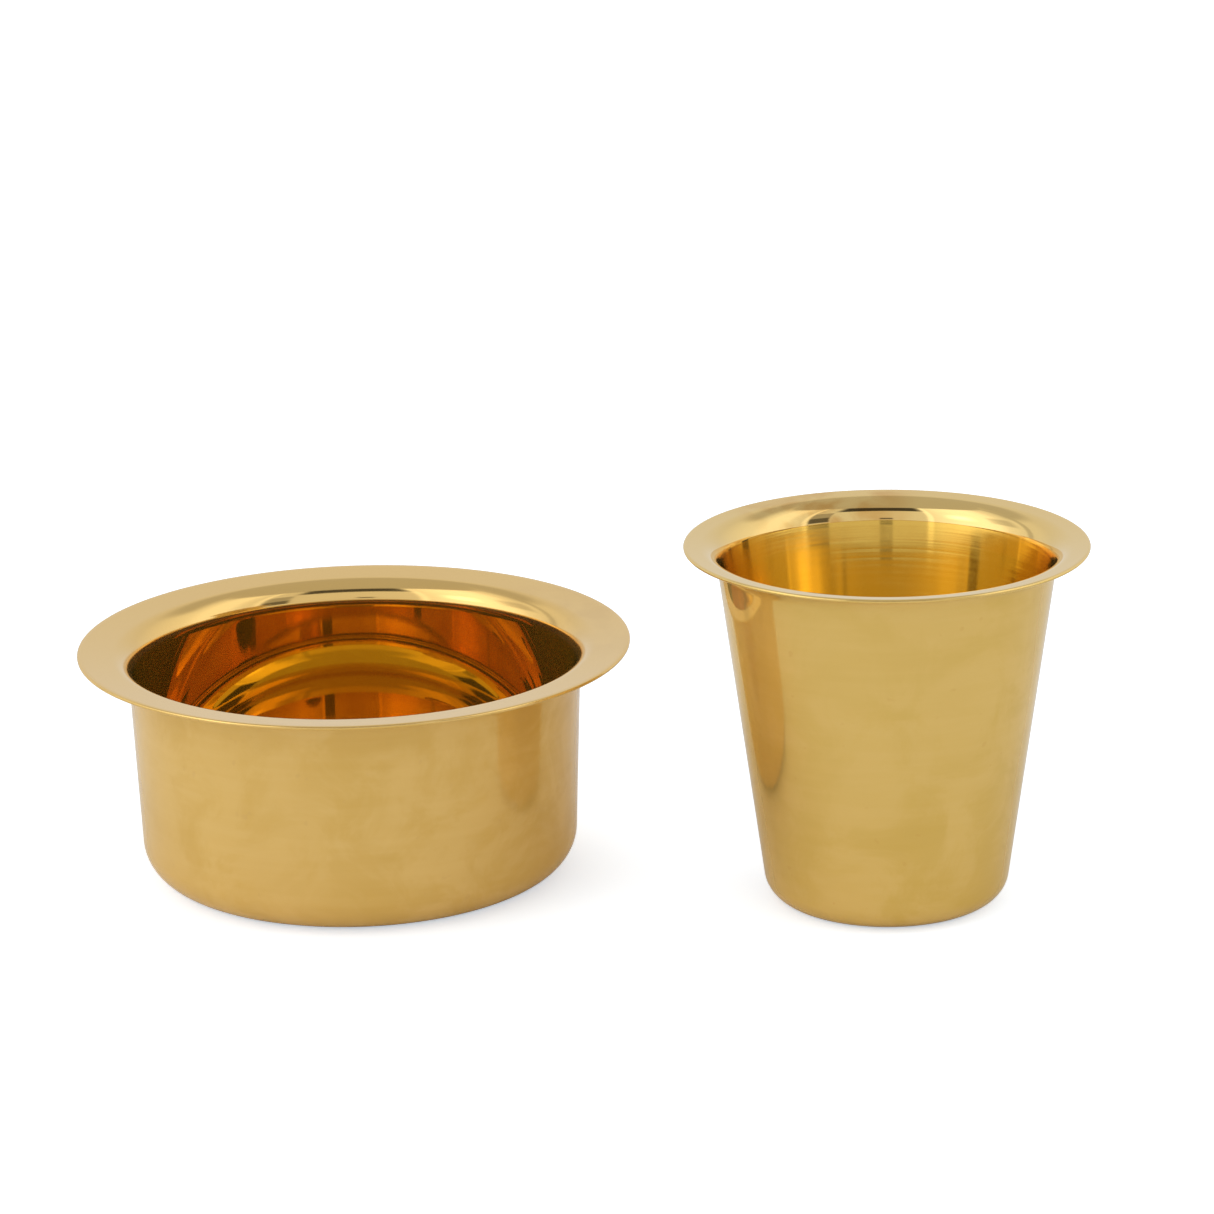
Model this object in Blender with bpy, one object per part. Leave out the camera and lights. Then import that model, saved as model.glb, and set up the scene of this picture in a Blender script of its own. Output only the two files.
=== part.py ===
"""A South Indian filter-coffee set: a wide brass bowl, the dabara, and a tapered brass cup, the tumbler.

Each vessel is spun from a single disc of sheet brass. Its flat base turns up round a soft corner into a
leaning wall, and the wall's top is flared out into a brim. The vessels stand side by side on their bases,
and the tumbler lifts straight up off the table. Units are metres and +Z is up. The origin lies on the
table, under the middle of the set.
"""

import math
from collections import namedtuple

import bmesh
import bpy
import numpy as np
from mathutils import Matrix

Vessel = namedtuple(
    "Vessel", "rim_radius height wall_radius wall_lean corner_radius flare_radius brim_rise"
)

# wall_radius is the radius of the outer wall carried down to the table. wall_lean is the wall's angle from
# upright, and brim_rise is the brim's angle above level. corner_radius is the outer face's at the base, and
# flare_radius is the inner face's where the wall turns out into the brim.
DABARA = Vessel(
    rim_radius=0.0575,
    height=0.0488,
    wall_radius=0.0453,
    wall_lean=math.radians(2.3),
    corner_radius=0.0080,
    flare_radius=0.0047,
    brim_rise=math.radians(6.5),
)
TUMBLER = Vessel(
    rim_radius=0.0410,
    height=0.0750,
    wall_radius=0.0244,
    wall_lean=math.radians(7.9),
    corner_radius=0.0058,
    flare_radius=0.0050,
    brim_rise=math.radians(7.0),
)
SHEET = 0.0008

# From the dabara's axis to the tumbler's axis.
TUMBLER_RIGHT = 0.1093
TUMBLER_FORWARD = 0.0243

SEGMENTS = 72
CORNER_STEPS = 5
FLARE_STEPS = 6
EDGE_STEPS = 4
SHARP_ANGLE = math.radians(40)
WELD_DISTANCE = 1e-6

DABARA_COLOUR = (0.80, 0.53, 0.17, 1.0)
DABARA_ROUGHNESS = 0.20
TUMBLER_COLOUR = (0.80, 0.55, 0.17, 1.0)
TUMBLER_ROUGHNESS = 0.18


def remove_scene_objects():
    for obj in list(bpy.data.objects):
        bpy.data.objects.remove(obj, do_unlink=True)


def brass(name, colour, roughness):
    material = bpy.data.materials.new(name)
    material.use_nodes = True
    shader = material.node_tree.nodes["Principled BSDF"]
    shader.inputs["Base Color"].default_value = colour
    shader.inputs["Metallic"].default_value = 1.0
    shader.inputs["Roughness"].default_value = roughness
    return material


def direction(angle):
    return np.array([math.cos(angle), math.sin(angle)])


def left_of(angle):
    """The unit normal on the left of a path that runs at this angle: up on the base, inwards on the wall."""
    return direction(angle + math.pi / 2)


def arc(centre, radius, start, end, steps):
    """Points at this radius round a centre, with the angle from the centre running from start to end."""
    return [centre + radius * direction(angle) for angle in np.linspace(start, end, steps + 1)]


def corner_centre(vessel):
    """The centre of the base corner, a corner radius above the table and inside the wall's outer face."""
    lean = vessel.wall_lean
    inset = vessel.corner_radius * (1 - math.sin(lean)) / math.cos(lean)
    return np.array([vessel.wall_radius - inset, vessel.corner_radius])


def edge_centre(vessel):
    """The middle of the sheet at the rim, whose round edge reaches the rim radius and the full height."""
    return np.array([vessel.rim_radius - SHEET / 2, vessel.height - SHEET / 2])


def flare_centre(vessel):
    """The point outside the wall that lies one outer flare radius from the wall and from the brim's underside."""
    outer_radius = vessel.flare_radius - SHEET
    wall_normal = direction(-vessel.wall_lean)
    brim_normal = left_of(vessel.brim_rise)
    wall_reach = wall_normal @ np.array([vessel.wall_radius, 0.0]) + outer_radius
    brim_reach = brim_normal @ edge_centre(vessel) - SHEET / 2 - outer_radius
    return np.linalg.solve([wall_normal, brim_normal], [wall_reach, brim_reach])


def half_section(vessel):
    """The sheet's outline from the base's centre, out and up its outer face, and back down its inner face."""
    base = -math.pi / 2
    wall = -vessel.wall_lean
    flare_start = math.pi + wall
    flare_end = math.pi / 2 + vessel.brim_rise
    corner = corner_centre(vessel)
    flare = flare_centre(vessel)
    outer = [np.array([0.0, 0.0])]
    outer += arc(corner, vessel.corner_radius, base, wall, CORNER_STEPS)
    outer += arc(flare, vessel.flare_radius - SHEET, flare_start, flare_end, FLARE_STEPS)
    edge = arc(edge_centre(vessel), SHEET / 2, flare_end - math.pi, flare_end, EDGE_STEPS)
    inner = arc(flare, vessel.flare_radius, flare_end, flare_start, FLARE_STEPS)
    inner += arc(corner, vessel.corner_radius - SHEET, wall, base, CORNER_STEPS)
    inner += [np.array([0.0, SHEET])]
    return outer + edge + inner


def spin_round_z(outline):
    """A closed mesh from an outline of (radius, height) points, turned a full circle about the Z axis."""
    bm = bmesh.new()
    verts = [bm.verts.new((radius, 0.0, height)) for radius, height in outline]
    edges = [bm.edges.new(pair) for pair in zip(verts, verts[1:])]
    bmesh.ops.spin(
        bm,
        geom=verts + edges,
        cent=(0, 0, 0),
        axis=(0, 0, 1),
        angle=2 * math.pi,
        steps=SEGMENTS,
        use_merge=True,
    )
    bmesh.ops.remove_doubles(bm, verts=bm.verts, dist=WELD_DISTANCE)
    bmesh.ops.recalc_face_normals(bm, faces=bm.faces)
    return bm


def add_vessel(name, vessel, place, material):
    """One vessel as an object of its own, with its origin on its axis where the base meets the table."""
    bm = spin_round_z(half_section(vessel))
    mesh = bpy.data.meshes.new(name)
    bm.to_mesh(mesh)
    bm.free()
    mesh.materials.append(material)
    mesh.shade_smooth()
    mesh.set_sharp_from_angle(angle=SHARP_ANGLE)
    obj = bpy.data.objects.new(name, mesh)
    obj.matrix_world = Matrix.Translation((*place, 0.0))
    bpy.context.scene.collection.objects.link(obj)
    return obj


def dabara_place():
    """The dabara's axis. The set's bounding box is centred on the origin."""
    right_end = TUMBLER_RIGHT + TUMBLER.rim_radius
    front_end = max(TUMBLER_FORWARD + TUMBLER.rim_radius, DABARA.rim_radius)
    return (DABARA.rim_radius - right_end) / 2, (front_end - DABARA.rim_radius) / 2


def tumbler_place():
    x, y = dabara_place()
    return x + TUMBLER_RIGHT, y - TUMBLER_FORWARD


remove_scene_objects()
add_vessel("dabara", DABARA, dabara_place(), brass("dabara_brass", DABARA_COLOUR, DABARA_ROUGHNESS))
add_vessel("tumbler", TUMBLER, tumbler_place(), brass("tumbler_brass", TUMBLER_COLOUR, TUMBLER_ROUGHNESS))
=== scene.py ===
import math
from collections import namedtuple

import bmesh
import bpy
import numpy as np
from mathutils import Matrix, Vector, noise


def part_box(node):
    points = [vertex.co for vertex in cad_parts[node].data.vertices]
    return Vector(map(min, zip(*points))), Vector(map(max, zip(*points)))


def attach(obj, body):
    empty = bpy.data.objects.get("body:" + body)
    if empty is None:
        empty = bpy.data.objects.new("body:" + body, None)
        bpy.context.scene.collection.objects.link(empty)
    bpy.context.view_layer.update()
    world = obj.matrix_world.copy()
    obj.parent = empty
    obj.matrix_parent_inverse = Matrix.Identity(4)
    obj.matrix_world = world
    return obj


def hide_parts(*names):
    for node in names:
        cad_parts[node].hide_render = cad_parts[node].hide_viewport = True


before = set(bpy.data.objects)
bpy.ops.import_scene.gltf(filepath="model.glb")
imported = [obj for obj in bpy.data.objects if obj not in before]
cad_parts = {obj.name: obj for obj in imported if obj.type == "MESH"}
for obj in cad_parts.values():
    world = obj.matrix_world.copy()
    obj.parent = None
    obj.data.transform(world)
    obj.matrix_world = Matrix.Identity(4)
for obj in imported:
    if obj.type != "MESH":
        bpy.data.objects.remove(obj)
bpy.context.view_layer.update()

# ---------------------------------------------------------------------------------------------------------
# Shape. The rim radius, height and axis of each vessel come from the frame. What the frame's box doesn't
# give is repeated here, in metres: the outer wall's radius carried down to the table, the wall's lean, the
# outer radius of the base corner, the inner radius of the flare, and the brim's rise above level.
# ---------------------------------------------------------------------------------------------------------
Vessel = namedtuple(
    "Vessel",
    "name axis rim_radius height wall_radius wall_lean corner_radius flare_radius brim_rise waviness seed",
)
Section = namedtuple("Section", "outline outer_count wall_start")

SHEET = 0.0008
SEGMENTS = 320
BASE_RINGS = 14
CORNER_STEPS = 14
WALL_STEPS = 44
FLARE_STEPS = 18
BRIM_STEPS = 8
EDGE_STEPS = 6

# A vessel is out of true by up to its waviness, in metres. The broad and the fine dents are this many to
# the metre. The base up to this share of the corner's height, and the rim's edge, stay true.
BROAD_DENTS = 28.0
FINE_DENTS = 95.0
FINE_SHARE = 0.2
TRUE_BASE = 0.3
TRUE_EDGE = 0.0015
ON_AXIS = 1e-9


def vessel_from_frame(name, **shape):
    low, high = (np.array(corner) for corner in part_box(name))
    middle = (low + high) / 2
    return Vessel(
        name=name,
        axis=(float(middle[0]), float(middle[1])),
        rim_radius=float(high[0] - low[0]) / 2,
        height=float(high[2] - low[2]),
        **shape,
    )


def direction(angle):
    return np.array([math.cos(angle), math.sin(angle)])


def arc(centre, radius, start, end, steps):
    """Points at this radius round a centre, with the angle from the centre running from start to end."""
    return [centre + radius * direction(angle) for angle in np.linspace(start, end, steps + 1)]


def straight(start, end, steps):
    """Points between start and end, without either of them."""
    return [start + (end - start) * i / steps for i in range(1, steps)]


def corner_centre(vessel):
    """The centre of the base corner, a corner radius above the table and inside the wall's outer face."""
    lean = vessel.wall_lean
    inset = vessel.corner_radius * (1 - math.sin(lean)) / math.cos(lean)
    return np.array([vessel.wall_radius - inset, vessel.corner_radius])


def edge_centre(vessel):
    """The middle of the sheet at the rim, whose round edge reaches the rim radius and the full height."""
    return np.array([vessel.rim_radius - SHEET / 2, vessel.height - SHEET / 2])


def flare_centre(vessel):
    """The point outside the wall, one outer flare radius from the wall and from the brim's underside."""
    outer_radius = vessel.flare_radius - SHEET
    normals = [direction(-vessel.wall_lean), direction(math.pi / 2 + vessel.brim_rise)]
    wall_reach = normals[0] @ np.array([vessel.wall_radius, 0.0]) + outer_radius
    brim_reach = normals[1] @ edge_centre(vessel) - SHEET / 2 - outer_radius
    return np.linalg.solve(normals, [wall_reach, brim_reach])


def half_section(vessel):
    """The sheet's outline as (radius, height) points, from the base's centre up the outer face, round the
    rim's edge and down the inner face. outer_count points lie before the top of the edge, and the inner
    wall starts under the flare, at point wall_start."""
    base = -math.pi / 2
    wall = -vessel.wall_lean
    flare_start = math.pi + wall
    flare_end = math.pi / 2 + vessel.brim_rise
    corner = corner_centre(vessel)
    flare = flare_centre(vessel)

    outer_corner = arc(corner, vessel.corner_radius, base, wall, CORNER_STEPS)
    outer_flare = arc(flare, vessel.flare_radius - SHEET, flare_start, flare_end, FLARE_STEPS)
    edge = arc(edge_centre(vessel), SHEET / 2, flare_end - math.pi, flare_end, EDGE_STEPS)
    inner_flare = arc(flare, vessel.flare_radius, flare_end, flare_start, FLARE_STEPS)
    inner_corner = arc(corner, vessel.corner_radius - SHEET, wall, base, CORNER_STEPS)
    base_centre = np.array([0.0, 0.0])
    floor_centre = np.array([0.0, SHEET])
    edge_top = EDGE_STEPS // 2 + 1

    outer = [base_centre] + straight(base_centre, outer_corner[0], BASE_RINGS) + outer_corner
    outer += straight(outer_corner[-1], outer_flare[0], WALL_STEPS) + outer_flare
    outer += straight(outer_flare[-1], edge[0], BRIM_STEPS) + edge[:edge_top]
    brim = edge[edge_top:] + straight(edge[-1], inner_flare[0], BRIM_STEPS) + inner_flare
    inner = straight(inner_flare[-1], inner_corner[0], WALL_STEPS) + inner_corner
    inner += straight(inner_corner[-1], floor_centre, BASE_RINGS) + [floor_centre]
    return Section(np.array(outer + brim + inner), len(outer), len(outer + brim) - 1)


def sheet_normals(outline):
    """The outward unit normal at each point of the outline, from its neighbours."""
    ahead = np.roll(outline, -1, axis=0)
    behind = np.roll(outline, 1, axis=0)
    ahead[-1] = outline[-1]
    behind[0] = outline[0]
    along = ahead - behind
    along /= np.linalg.norm(along, axis=1)[:, None]
    return np.stack([along[:, 1], -along[:, 0]], axis=1)


def out_of_true(point, seed):
    """How far spinning left the sheet out of true at this point, as a share of the vessel's waviness."""
    broad = noise.noise(Vector(point) * BROAD_DENTS + Vector((seed, 0.0, 0.0)))
    fine = noise.noise(Vector(point) * FINE_DENTS + Vector((0.0, seed, 0.0)))
    return (1 - FINE_SHARE) * broad + FINE_SHARE * fine


def ring_points(vessel, place, normal, side):
    """One turn of points round the axis, or one point on it, each moved off the true shape."""
    radius, height = place
    out, up = normal
    turns = 1 if radius < ON_AXIS else SEGMENTS
    base_room = min(1.0, max(0.0, height / vessel.corner_radius - TRUE_BASE))
    edge_room = min(1.0, (vessel.rim_radius - radius) / TRUE_EDGE)
    points = []
    for i in range(turns):
        angle = 2 * math.pi * i / turns
        c, s = math.cos(angle), math.sin(angle)
        error = out_of_true((radius * c, radius * s, height), vessel.seed)
        push = side * vessel.waviness * base_room * edge_room * error
        reach = radius + out * push
        points.append((reach * c, reach * s, height + up * push))
    return points


def bridge(bm, lower, upper, material_index):
    """The faces between neighbouring rings. A ring of one point is the middle of a fan."""
    for i in range(SEGMENTS):
        j = (i + 1) % SEGMENTS
        corners = [lower[i % len(lower)], lower[j % len(lower)]]
        corners += [upper[j % len(upper)], upper[i % len(upper)]]
        face = bm.faces.new(list(dict.fromkeys(corners)))
        face.material_index = material_index


def lathe(vessel):
    """The vessel's mesh about its own axis. Both faces share one error, so the sheet keeps its gauge.
    Its vertices know how far along the outline they are, and whether they face inwards or up."""
    outline, outer_count, wall_start = half_section(vessel)
    normals = sheet_normals(outline)
    lengths = np.linalg.norm(np.diff(outline, axis=0), axis=1)
    along = np.concatenate([[0.0], np.cumsum(lengths)])
    inner_side = np.arange(len(outline)) >= outer_count

    bm = bmesh.new()
    along_layer = bm.verts.layers.float.new("along")
    inside_layer = bm.verts.layers.float.new("inside")
    rings = []
    for place, normal, distance, inner in zip(outline, normals, along, inner_side):
        side = -1.0 if inner else 1.0
        ring = [bm.verts.new(point) for point in ring_points(vessel, place, normal, side)]
        for vert in ring:
            vert[along_layer] = distance
            vert[inside_layer] = float(inner)
        rings.append(ring)
    for number, (lower, upper) in enumerate(zip(rings, rings[1:])):
        bridge(bm, lower, upper, int(number >= wall_start))
    mesh = bpy.data.meshes.new(vessel.name + "_spun")
    bm.to_mesh(mesh)
    bm.free()
    mesh.shade_smooth()
    return mesh


# ---------------------------------------------------------------------------------------------------------
# Materials. Marks are laid out by noise, at a number of features to the metre. Marks that run round the
# vessel have two numbers: features to the radian round it, and to the metre along the sheet's outline.
# ---------------------------------------------------------------------------------------------------------
WIPE_MARKS = (1.5, 420.0)
TURNING_MARKS = (0.8, 1150.0)
STAIN_MARKS = (4.0, 150.0)
SMUDGES = 70.0
CLOUDS = 22.0
SPECKS = 420.0
SPECK_DEPTH = 0.25
NOISE_RANGE = (0.3, 0.7)

BUMP_HEIGHT = 0.00002
SMUDGE_BUMP = 0.10
HAZE_GLOSS = 0.25
WIPE_SHARE = 0.2
INSIDE_TONE = 0.5
BAND_BLEND = 0.0006
FLOOR_BLEND = 0.003
RADIUS_FLOOR = 0.001
QUARTER_TURN = 0.25

# The studio's table, and how far it is lifted where the camera sees it. Near a vessel it is lifted less,
# which leaves a soft contact shadow.
TABLE_COLOUR = (0.90, 0.90, 0.90, 1.0)
LIFT_COLOUR = (0.77, 0.88, 1.0, 1.0)
FLOOR_LIFT = 0.68
CONTACT_LIFT = 0.58
CONTACT_REACH = 0.016
CONTACT_OPEN = 0.45

Outside = namedtuple(
    "Outside", "name colour smudge brim_colour polish brim_polish haze brim_haze stain tilts"
)
Inside = namedtuple(
    "Inside", "name colour top_colour deep_colour levels polish haze lathe_spread grooves tilts"
)
Tilt = namedtuple("Tilt", "angle low high")
Stain = namedtuple("Stain", "colour strength bearing spread")


class Nodes:
    """Short calls for building a node tree."""

    def __init__(self, tree):
        self.tree = tree

    def new(self, kind, **settings):
        node = self.tree.nodes.new(kind)
        for key, value in settings.items():
            setattr(node, key, value)
        return node

    def feed(self, socket, value):
        if isinstance(value, bpy.types.NodeSocket):
            self.tree.links.new(value, socket)
        else:
            socket.default_value = value

    def math(self, operation, a, b=0.0, c=0.0):
        node = self.new("ShaderNodeMath", operation=operation)
        for socket, value in zip(node.inputs, (a, b, c)):
            self.feed(socket, value)
        return node.outputs[0]

    def span(self, value, low, high, to_low=0.0, to_high=1.0, smooth=True):
        """Maps low..high onto to_low..to_high, clamped, with soft ends."""
        node = self.new("ShaderNodeMapRange", interpolation_type="SMOOTHSTEP" if smooth else "LINEAR")
        for name, item in (
            ("Value", value), ("From Min", low), ("From Max", high), ("To Min", to_low), ("To Max", to_high)
        ):
            self.feed(node.inputs[name], item)
        return node.outputs["Result"]

    def vary(self, value, to_low, to_high):
        """Noise, which lies mostly between 0.3 and 0.7, stretched over to_low..to_high."""
        return self.span(value, *NOISE_RANGE, to_low, to_high)

    def window(self, value, low, high, soft):
        """1 between low and high, falling to 0 over soft on each side."""
        rise = self.span(value, low - soft, low + soft)
        fall = self.span(value, high - soft, high + soft, 1.0, 0.0)
        return self.math("MULTIPLY", rise, fall)

    def profile(self, value, points, top):
        """A straight-line graph of (value, height) points. The first and last values bound it."""
        low, high = points[0][0], points[-1][0]
        ramp = self.new("ShaderNodeValToRGB")
        self.feed(ramp.inputs["Fac"], self.math("DIVIDE", self.math("SUBTRACT", value, low), high - low))
        stops = ramp.color_ramp.elements
        while len(stops) < len(points):
            stops.new(0.5)
        for stop, (place, height) in zip(stops, points):
            stop.position = (place - low) / (high - low)
            stop.color = (height / top, height / top, height / top, 1.0)
        return self.math("MULTIPLY", ramp.outputs["Color"], top)

    def noise(self, vector, scale, detail=2.0, roughness=0.5, distortion=0.0):
        node = self.new("ShaderNodeTexNoise")
        self.feed(node.inputs["Vector"], vector)
        self.feed(node.inputs["Scale"], scale)
        self.feed(node.inputs["Detail"], detail)
        self.feed(node.inputs["Roughness"], roughness)
        self.feed(node.inputs["Distortion"], distortion)
        return node.outputs["Fac"]

    def blend(self, mask, a, b):
        """The number a where mask is 0, and b where it is 1."""
        return self.math("ADD", a, self.math("MULTIPLY", mask, b - a))

    def mix(self, factor, a, b):
        node = self.new("ShaderNodeMix", data_type="RGBA")
        self.feed(node.inputs["Factor"], factor)
        self.feed(node.inputs["A"], a)
        self.feed(node.inputs["B"], b)
        return node.outputs["Result"]

    def combine(self, x, y, z):
        node = self.new("ShaderNodeCombineXYZ")
        for socket, value in zip(node.inputs, (x, y, z)):
            self.feed(socket, value)
        return node.outputs[0]

    def camera_ray(self):
        """1 where the camera sees the surface directly, and 0 in reflections and shadows."""
        return self.new("ShaderNodeLightPath").outputs["Is Camera Ray"]


class Sheet:
    """The places on a vessel that its materials are laid out by."""

    def __init__(self, nodes):
        self.n = nodes
        self.place = nodes.new("ShaderNodeTexCoord").outputs["Object"]
        split = nodes.new("ShaderNodeSeparateXYZ")
        nodes.feed(split.inputs[0], self.place)
        self.x, self.y, self.height = split.outputs
        self.top_side = nodes.new("ShaderNodeAttribute", attribute_name="inside").outputs["Fac"]
        self.along = nodes.new("ShaderNodeAttribute", attribute_name="along").outputs["Fac"]
        squares = [nodes.math("MULTIPLY", side, side) for side in (self.x, self.y)]
        radius = nodes.math("MAXIMUM", nodes.math("SQRT", nodes.math("ADD", *squares)), RADIUS_FLOOR)
        self.cosine = nodes.math("DIVIDE", self.x, radius)
        self.sine = nodes.math("DIVIDE", self.y, radius)

    def turned(self, around, across):
        """Coordinates that change slowly round the vessel and quickly along the sheet."""
        ways = ((self.cosine, around), (self.sine, around), (self.along, across))
        return self.n.combine(*(self.n.math("MULTIPLY", value, scale) for value, scale in ways))

    def tilted(self, tilts):
        """Bump height that turns an upright sheet's shading by each angle between its two heights."""
        total = 0.0
        for tilt in tilts:
            level = self.n.math("MINIMUM", self.n.math("MAXIMUM", self.height, tilt.low), tilt.high)
            rise = self.n.math("SUBTRACT", level, tilt.low)
            slope = math.tan(tilt.angle) / BUMP_HEIGHT
            total = self.n.math("ADD", total, self.n.math("MULTIPLY", rise, slope))
        return total

    def towards(self, bearing, spread):
        """1 on this bearing from the axis, falling to 0 at spread from it."""
        across = self.n.math("MULTIPLY", self.cosine, math.cos(bearing))
        ahead = self.n.math("MULTIPLY", self.sine, math.sin(bearing))
        return self.n.span(self.n.math("ADD", across, ahead), math.cos(spread), 1.0)


def start_brass(name):
    material = bpy.data.materials.new(name)
    material.use_nodes = True
    nodes = Nodes(material.node_tree)
    shader = material.node_tree.nodes["Principled BSDF"]
    shader.inputs["Specular IOR Level"].default_value = HAZE_GLOSS
    return material, nodes, shader, Sheet(nodes)


def finish_brass(n, sheet, shader, rough, haze, height):
    """Smudged roughness, a thin haze over the metal, and the bump. Returns how smudged the colour is."""
    wiping = n.noise(sheet.turned(*WIPE_MARKS), 1.0, detail=3.0)
    smudges = n.noise(sheet.place, SMUDGES, detail=4.0, roughness=0.6, distortion=0.6)
    cloud = n.noise(sheet.place, CLOUDS, detail=2.0)
    spread = n.math("MULTIPLY", n.vary(smudges, 0.80, 1.25), n.vary(wiping, 0.9, 1.1))
    n.feed(shader.inputs["Roughness"], n.math("MULTIPLY", rough, spread))
    clouded = n.math("MULTIPLY", haze, n.vary(cloud, 0.9, 1.1))
    n.feed(shader.inputs["Metallic"], n.math("SUBTRACT", 1.0, clouded))
    bump = n.new("ShaderNodeBump")
    n.feed(bump.inputs["Strength"], 1.0)
    n.feed(bump.inputs["Distance"], BUMP_HEIGHT)
    n.feed(bump.inputs["Height"], n.math("ADD", height, n.math("MULTIPLY", smudges, SMUDGE_BUMP)))
    n.feed(shader.inputs["Normal"], bump.outputs[0])
    patches = n.math("MULTIPLY", n.span(cloud, 0.3, 0.6, 0.35, 1.0), n.span(smudges, 0.38, 0.62))
    patches = n.math("MULTIPLY", patches, 1 - WIPE_SHARE)
    return n.math("ADD", patches, n.span(wiping, 0.35, 0.65, 0.0, WIPE_SHARE))


def outside_brass(finish):
    """The outer wall, hand-polished to a soft lustre, and the brim, which is brighter on top. The brim's
    top side is painted paler than the wall, a painted highlight over the brass's own colour.
    """
    material, n, shader, sheet = start_brass(finish.name)
    rough = n.blend(sheet.top_side, finish.polish, finish.brim_polish)
    haze = n.blend(sheet.top_side, finish.haze, finish.brim_haze)
    height = n.math("MULTIPLY", sheet.tilted(finish.tilts), sheet.top_side)
    tone = finish_brass(n, sheet, shader, rough, haze, height)
    stain = finish.stain
    blotch = n.noise(sheet.turned(*STAIN_MARKS), 1.0, detail=3.0, distortion=0.4)
    blotch = n.span(blotch, 0.36, 0.66)
    tarnish = n.math("MULTIPLY", sheet.towards(stain.bearing, stain.spread), blotch)
    tarnish = n.math("MULTIPLY", tarnish, stain.strength)
    # The brim's colour is the brass with a painted highlight that makes it paler; the real stain lies over
    # it.
    brim = n.mix(tarnish, finish.brim_colour, stain.colour)
    specks = n.span(n.noise(sheet.place, SPECKS, detail=1.0), 0.71, 0.80, 0.0, SPECK_DEPTH)
    wall = n.mix(specks, n.mix(tone, finish.colour, finish.smudge), stain.colour)
    n.feed(shader.inputs["Base Color"], n.mix(sheet.top_side, wall, brim))
    return material


def inside_brass(finish):
    """The inner wall and floor, still carrying the lathe's fine rings. Where these are coarse enough to
    spread reflections upwards, lathe_spread says how much.
    Its colours are painted light and shade: a deeper orange copy of the brass for the light bounced round
    inside, a paler band at the top and a darker floor."""
    material, n, shader, sheet = start_brass(finish.name)
    floor_level, band_level = finish.levels
    # Painted light: above the band's height the inner wall is painted a paler colour.
    painted_light_band = n.span(sheet.height, band_level, band_level + BAND_BLEND)
    # Painted shade: below the floor's corner height the inside takes the darker colour.
    floor = n.span(sheet.height, floor_level, floor_level + FLOOR_BLEND, 1.0, 0.0)
    turning = n.noise(sheet.turned(*TURNING_MARKS), 1.0, detail=1.0)
    grooves = n.math("MULTIPLY", turning, finish.grooves)
    height = n.math("ADD", grooves, sheet.tilted(finish.tilts))
    tone = finish_brass(n, sheet, shader, finish.polish, finish.haze, height)
    # Smudges darken the inner wall towards the same colour that paints the floor's shade.
    colour = n.mix(n.math("MULTIPLY", tone, INSIDE_TONE), finish.colour, finish.deep_colour)
    colour = n.mix(painted_light_band, colour, finish.top_colour)
    # Painted shade: the floor and its corner are painted darker.
    n.feed(shader.inputs["Base Color"], n.mix(floor, colour, finish.deep_colour))
    if finish.lathe_spread:
        shader.inputs["Anisotropic"].default_value = finish.lathe_spread
        shader.inputs["Anisotropic Rotation"].default_value = QUARTER_TURN
        tangent = n.new("ShaderNodeTangent", direction_type="RADIAL", axis="Z")
        n.feed(shader.inputs["Tangent"], tangent.outputs[0])
    return material


def floor_material():
    """A matt white sheet, lifted to plain white where it is seen directly."""
    material = bpy.data.materials.new("studio_floor")
    material.use_nodes = True
    n = Nodes(material.node_tree)
    shader = material.node_tree.nodes["Principled BSDF"]
    shader.inputs["Base Color"].default_value = TABLE_COLOUR
    shader.inputs["Roughness"].default_value = 1.0
    shader.inputs["Specular IOR Level"].default_value = 0.0
    shader.inputs["Emission Color"].default_value = LIFT_COLOUR
    openness = n.new("ShaderNodeAmbientOcclusion", samples=8)
    openness.inputs["Distance"].default_value = CONTACT_REACH
    lift = n.span(openness.outputs["AO"], CONTACT_OPEN, 1.0, CONTACT_LIFT, FLOOR_LIFT, smooth=False)
    n.feed(shader.inputs["Emission Strength"], n.math("MULTIPLY", n.camera_ray(), lift))
    return material


# ---------------------------------------------------------------------------------------------------------
# Studio. Directions are in degrees: the bearing to the right of the camera, and the height above level.
# ---------------------------------------------------------------------------------------------------------
Patch = namedtuple("Patch", "bearings heights strength")

CAMERA_PLACE = (0.00637, -0.90015, 0.32523)
CAMERA_PITCH = math.radians(16.63)
CAMERA_ROLL = math.radians(-1.048)
CAMERA_LENS = 134.6
SENSOR = 36.0
CLIP = (0.01, 50.0)
FLOOR_SIZE = 6.0
FLOOR_GAP = 0.0001

# The tent's light. The ceiling starts at a height above the flanks, and comes lower behind the set.
TENT_LIGHT = 0.80
CEILING = 0.72
CEILING_EDGE = (57.0, 61.0)
BACK_CEILING_EDGE = (36.0, 46.0)
BACK_START = (0.15, 0.45)

# How bright the flanks are at each bearing.
FLANKS = (
    (-180, 1.00), (-150, 1.00), (-135, 1.10), (-126, 1.10), (-124, 0.80), (-120, 0.80), (-117, 1.20),
    (-100, 1.40), (-90, 1.85), (-78, 2.05), (-58, 2.00), (-44, 1.70), (-38, 1.50), (-36.5, 1.95),
    (-34, 1.95), (-32, 1.12), (0, 1.05), (53.5, 1.05), (55, 1.70), (57, 1.70), (58.5, 1.20),
    (68, 1.35), (74, 1.62), (92, 1.62), (104, 1.35), (125, 1.20), (150, 1.00), (180, 1.00),
)
FLANKS_TOP = 2.5

# How much of that is left in the seam on the left, within its heights (low, high, softness).
LEFT_SEAM = (
    (-180, 1.00), (-114, 1.00), (-106, 0.68), (-92, 0.64), (-87, 0.74), (-83, 1.00), (180, 1.00),
)
LEFT_SEAM_HEIGHTS = (22.0, 38.0, 3.0)

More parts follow.
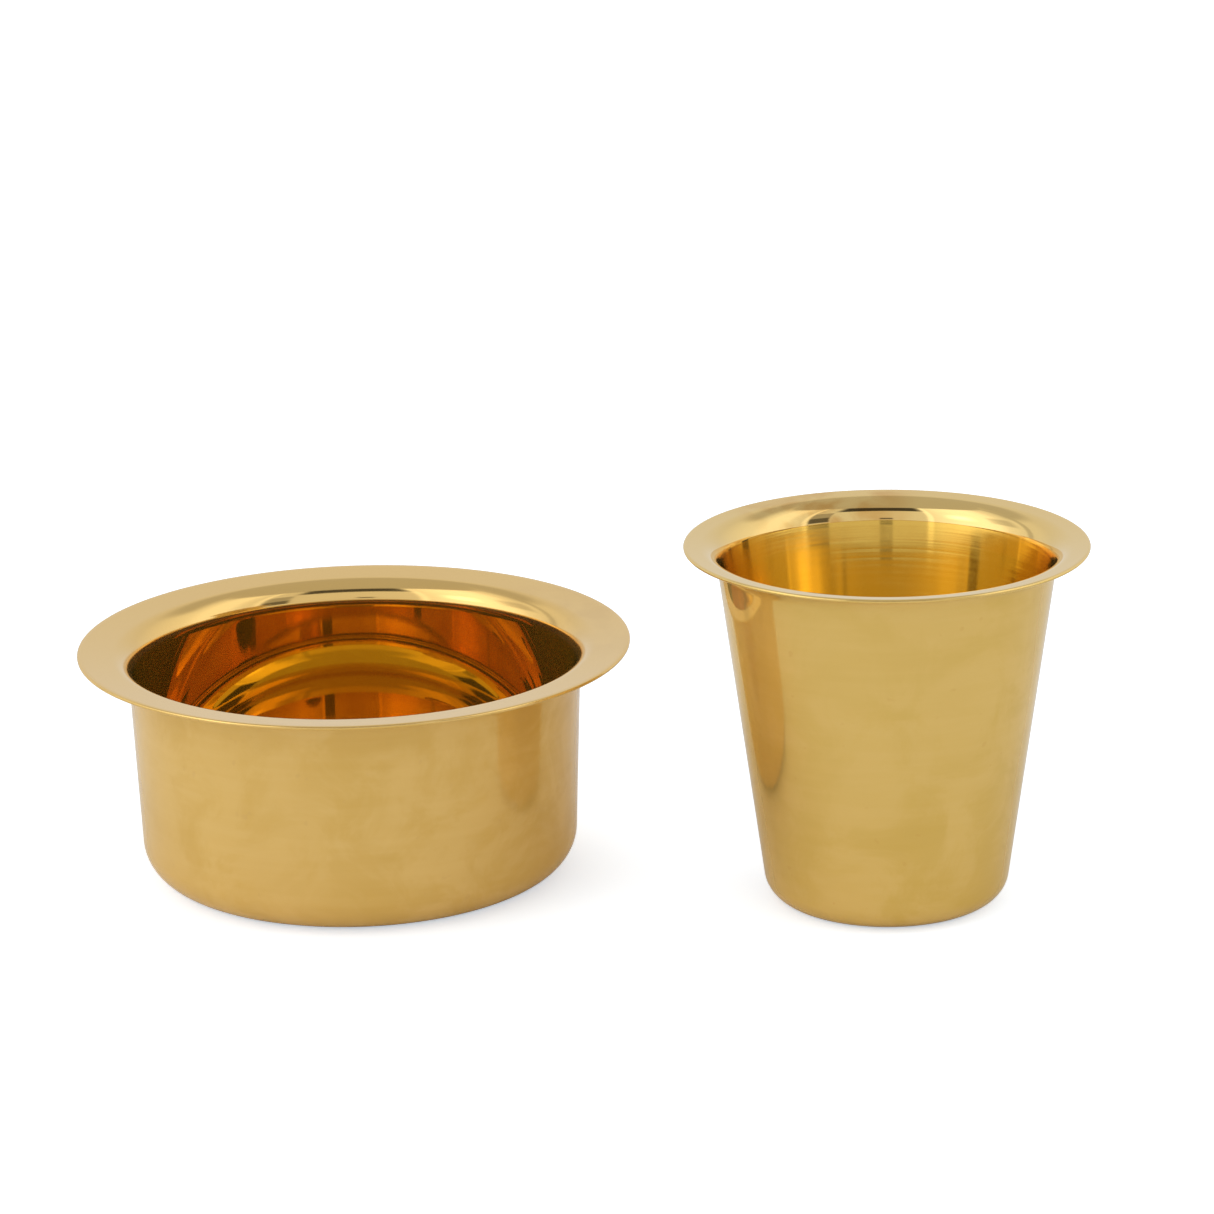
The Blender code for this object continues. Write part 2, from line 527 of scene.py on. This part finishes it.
# Patches of the tent, with bearings and heights as (low, high, softness). The lamp behind the left flank
# adds its strength to the light. The gap over the front flap, the hole that the camera looks through and
# the flap's upright edge, darker at its foot, take theirs away as a share.
LAMP = Patch(bearings=(-68.0, -50.0, 7.0), heights=(20.0, 34.0, 5.0), strength=1.0)
FLAP_GAP = Patch(bearings=(-32.0, 36.0, 5.0), heights=(44.0, 60.0, 1.5), strength=0.94)
CAMERA_HOLE = Patch(bearings=(-8.0, 1.0, 1.0), heights=(9.0, 15.0, 1.0), strength=0.75)
FLAP_EDGE = Patch(bearings=(37.5, 53.0, 0.8), heights=(8.0, 41.0, 1.0), strength=0.46)
FLAP_EDGE_FOOT = Patch(bearings=(37.5, 53.0, 0.8), heights=(8.0, 23.0, 2.0), strength=0.38)


def add_camera():
    data = bpy.data.cameras.new("camera")
    data.sensor_width = SENSOR
    data.lens = CAMERA_LENS
    data.clip_start, data.clip_end = CLIP
    camera = bpy.data.objects.new("camera", data)
    turn = Matrix.Rotation(math.pi / 2 - CAMERA_PITCH, 4, "X") @ Matrix.Rotation(CAMERA_ROLL, 4, "Z")
    camera.matrix_world = Matrix.Translation(CAMERA_PLACE) @ turn
    bpy.context.scene.collection.objects.link(camera)
    bpy.context.scene.camera = camera


def dimmed(n, light, share):
    """The light that is left when this share of it is taken away."""
    return n.math("MULTIPLY", light, n.math("SUBTRACT", 1.0, share))


def tent_light(n, x, y, z):
    """How bright the tent is in this direction: pale ceiling, bright flanks, and what is dark in front."""
    up = n.math("MULTIPLY", n.math("ARCSINE", z), 180 / math.pi)
    bearing = n.math("MULTIPLY", n.math("ARCTAN2", x, n.math("MULTIPLY", y, -1.0)), 180 / math.pi)

    def patch(place):
        """The patch's strength inside its box of directions, and 0 outside."""
        inside = n.math("MULTIPLY", n.window(bearing, *place.bearings), n.window(up, *place.heights))
        return n.math("MULTIPLY", inside, place.strength)

    seam = n.math("SUBTRACT", 1.0, n.profile(bearing, LEFT_SEAM, 1.0))
    seam = n.math("MULTIPLY", n.window(up, *LEFT_SEAM_HEIGHTS), seam)
    flanks = dimmed(n, n.profile(bearing, FLANKS, FLANKS_TOP), seam)
    flanks = n.math("ADD", flanks, patch(LAMP))
    over_back = n.math("MULTIPLY", n.span(y, *BACK_START), n.span(up, *BACK_CEILING_EDGE))
    ceiling = n.math("MAXIMUM", n.span(up, *CEILING_EDGE), over_back)
    light = n.math("ADD", n.math("MULTIPLY", ceiling, CEILING), dimmed(n, flanks, ceiling))
    flap_edge = n.math("ADD", patch(FLAP_EDGE), patch(FLAP_EDGE_FOOT))
    dark = n.math("MAXIMUM", n.math("MAXIMUM", patch(FLAP_GAP), patch(CAMERA_HOLE)), flap_edge)
    return dimmed(n, n.math("MULTIPLY", light, TENT_LIGHT), dark)


def add_world():
    """A white tent, which the brass reflects, and plain white where the camera sees past the set."""
    world = bpy.data.worlds.new("tent")
    bpy.context.scene.world = world
    world.use_nodes = True
    n = Nodes(world.node_tree)
    background = world.node_tree.nodes["Background"]
    split = n.new("ShaderNodeSeparateXYZ")
    n.feed(split.inputs[0], n.new("ShaderNodeTexCoord").outputs["Generated"])
    light = tent_light(n, *split.outputs)
    seen = n.camera_ray()
    n.feed(background.inputs["Strength"], n.math("ADD", dimmed(n, light, seen), seen))
    background.inputs["Color"].default_value = (1.0, 1.0, 1.0, 1.0)


def add_floor():
    bm = bmesh.new()
    bmesh.ops.create_grid(bm, x_segments=8, y_segments=8, size=FLOOR_SIZE)
    mesh = bpy.data.meshes.new("studio_floor")
    bm.to_mesh(mesh)
    bm.free()
    mesh.materials.append(floor_material())
    floor = bpy.data.objects.new("studio_floor", mesh)
    floor.location = (0.0, 0.0, -FLOOR_GAP)
    bpy.context.scene.collection.objects.link(floor)


# ---------------------------------------------------------------------------------------------------------
# The two vessels and their brass. A tilt trues the shading of a wall between two heights, and a stain lies
# on the brim round its bearing. levels are the heights of the floor's corner and of the band at the top.
# Inside, the colours are painted light and shade: a deeper orange copy of the brass on the inner wall, a
# painted paler band at the top and a painted darker floor. The brim's top is painted paler, a painted
# highlight.
# ---------------------------------------------------------------------------------------------------------
def add_vessel(vessel, outside, inside, body):
    mesh = lathe(vessel)
    mesh.materials.append(outside_brass(outside))
    mesh.materials.append(inside_brass(inside))
    obj = bpy.data.objects.new(vessel.name + "_spun", mesh)
    obj.location = (*vessel.axis, 0.0)
    bpy.context.scene.collection.objects.link(obj)
    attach(obj, body)
    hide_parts(vessel.name)
    return obj


DABARA = vessel_from_frame(
    "dabara",
    wall_radius=0.0453,
    wall_lean=math.radians(2.3),
    corner_radius=0.0080,
    flare_radius=0.0047,
    brim_rise=math.radians(6.5),
    waviness=0.000015,
    seed=3.1,
)
TUMBLER = vessel_from_frame(
    "tumbler",
    wall_radius=0.0244,
    wall_lean=math.radians(7.9),
    corner_radius=0.0058,
    flare_radius=0.0050,
    brim_rise=math.radians(7.0),
    waviness=0.00002,
    seed=7.7,
)
DABARA_OUTSIDE = Outside(
    name="dabara_brass",
    colour=(0.82, 0.545, 0.175, 1.0),
    smudge=(0.74, 0.475, 0.125, 1.0),
    # Painted highlight: the brim's top is painted paler than the wall.
    brim_colour=(0.82, 0.555, 0.20, 1.0),
    polish=0.10,
    brim_polish=0.11,
    haze=0.62,
    brim_haze=0.06,
    stain=Stain((0.66, 0.42, 0.15, 1.0), strength=0.3, bearing=math.radians(20), spread=math.radians(40)),
    tilts=(),
)
DABARA_INSIDE = Inside(
    name="dabara_brass_inside",
    # Painted light and shade: the inner wall is a deeper orange copy of the brass, standing for light
    # bounced round inside.
    colour=(0.82, 0.54, 0.08, 1.0),
    # Painted light: the band at the top of the inner wall is painted paler.
    top_colour=(0.82, 0.54, 0.10, 1.0),
    # Painted shade on the floor and its corner, and the colour that smudges darken towards.
    deep_colour=(0.70, 0.41, 0.05, 1.0),
    levels=(0.0080, 0.0425),
    polish=0.025,
    haze=0.06,
    lathe_spread=0.0,
    grooves=0.015,
    tilts=(Tilt(math.radians(2.6), 0.0080, 0.0425),),
)
TUMBLER_OUTSIDE = Outside(
    name="tumbler_brass",
    colour=(0.82, 0.565, 0.175, 1.0),
    smudge=(0.74, 0.50, 0.125, 1.0),
    # Painted highlight: the brim's top is painted paler than the wall.
    brim_colour=(0.82, 0.59, 0.23, 1.0),
    polish=0.06,
    brim_polish=0.05,
    haze=0.36,
    brim_haze=0.04,
    stain=Stain((0.66, 0.37, 0.10, 1.0), strength=0.9, bearing=math.radians(108), spread=math.radians(36)),
    tilts=(Tilt(math.radians(-4), 0.0700, 0.0703), Tilt(math.radians(-2), 0.0703, 0.0710)),
)
TUMBLER_INSIDE = Inside(
    name="tumbler_brass_inside",
    # Painted light and shade: the inner wall is a darker, deeper orange copy of the brass, standing for
    # light bounced round inside.
    colour=(0.74, 0.49, 0.10, 1.0),
    # Painted light: the band at the top of the inner wall is painted paler.
    top_colour=(0.76, 0.49, 0.10, 1.0),
    # Painted shade on the floor and its corner, and the colour that smudges darken towards.
    deep_colour=(0.72, 0.45, 0.07, 1.0),
    levels=(0.0060, 0.0658),
    polish=0.11,
    haze=0.02,
    lathe_spread=0.93,
    grooves=0.9,
    tilts=(Tilt(math.radians(-4), 0.0300, 0.0703),),
)

add_camera()
add_world()
add_floor()
add_vessel(DABARA, DABARA_OUTSIDE, DABARA_INSIDE, "dabara")
add_vessel(TUMBLER, TUMBLER_OUTSIDE, TUMBLER_INSIDE, "tumbler")

bpy.context.scene.view_settings.view_transform = "Standard"
